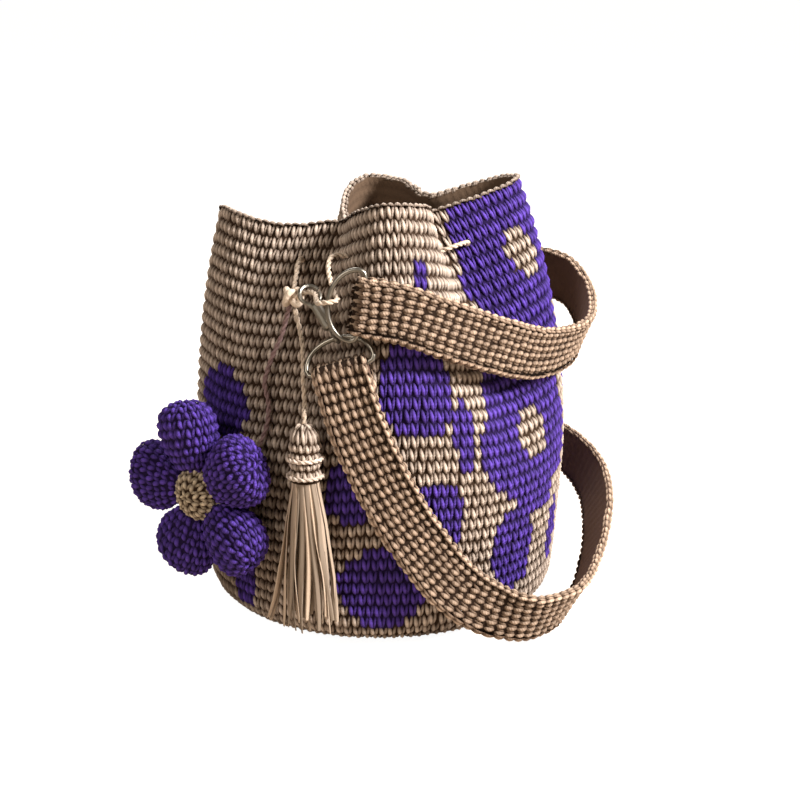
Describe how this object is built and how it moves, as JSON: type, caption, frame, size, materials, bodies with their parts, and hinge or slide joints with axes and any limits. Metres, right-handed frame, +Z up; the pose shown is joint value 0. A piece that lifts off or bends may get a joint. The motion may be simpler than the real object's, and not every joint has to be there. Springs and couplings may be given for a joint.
{
  "type": "crochet bucket bag",
  "caption": "Crocheted drawstring bucket bag with a shoulder strap on D-rings, a swivel clasp, a stuffed flower charm and a ribbon tassel",
  "frame": {"origin": "middle of the flat base, on the surface the bag stands on", "axes": "+Z up towards the mouth, -Y towards the drawn front fold with the clasp and charms, +X towards the side that the strap's loop falls on"},
  "size_m": [0.2776, 0.2956, 0.2718],
  "materials": {
    "natural_cotton": "matte crocheted cotton",
    "purple_cotton": "matte crocheted cotton",
    "nickel": "satin nickel"
  },
  "bodies": {
    "bag": {"bag_body": "natural_cotton", "strap": "natural_cotton", "drawcord": "natural_cotton", "drawcord_knot": "natural_cotton", "flower_cord": "purple_cotton", "tassel_cord": "natural_cotton", "petal_1": "purple_cotton", "petal_2": "purple_cotton", "petal_3": "purple_cotton", "petal_4": "purple_cotton", "petal_5": "purple_cotton", "flower_centre": "natural_cotton", "tassel_cap": "natural_cotton", "tassel_skirt": "natural_cotton"},
    "upper_ring": {"strap_ring_upper": "nickel"},
    "lower_ring": {"strap_ring_lower": "nickel"},
    "swivel": {"clasp_swivel": "nickel"},
    "hook": {"clasp_hook": "nickel", "clasp_gate_pin": "nickel"},
    "gate": {"clasp_gate": "nickel"}
  },
  "joints": [
    {"name": "upper_ring_tilt", "type": "hinge", "parent": "bag", "child": "upper_ring", "pos_m": [0.06793, -0.09606, 0.21533], "axis": [0.0616, 0.1646, 0.9844], "range_deg": [-5, 5]},
    {"name": "lower_ring_tilt", "type": "hinge", "parent": "bag", "child": "lower_ring", "pos_m": [0.05859, -0.10309, 0.17854], "axis": [-0.8157, -0.4974, -0.2954], "range_deg": [-5, 3]},
    {"name": "clasp_tilt", "type": "hinge", "parent": "lower_ring", "child": "swivel", "pos_m": [0.04894, -0.09713, 0.19449], "axis": [-0.6176, -0.5526, -0.5597], "range_deg": [-4.9, 8]},
    {"name": "clasp_swivel_turn", "type": "hinge", "parent": "swivel", "child": "hook", "pos_m": [0.04894, -0.09713, 0.19449], "axis": [-0.7049, 0.0733, 0.7055], "range_deg": [-5, 10]},
    {"name": "clasp_gate_open", "type": "hinge", "parent": "hook", "child": "gate", "pos_m": [0.03378, -0.09356, 0.21086], "axis": [-0.6264, 0.4022, -0.6677], "range_deg": [-18, 0], "stiffness_Nm_per_rad": 0.001, "springref_deg": 5.73}
  ],
  "couplings": [
    {"joint": "clasp_tilt", "follows": "lower_ring_tilt", "ratio": -1.57}
  ]
}
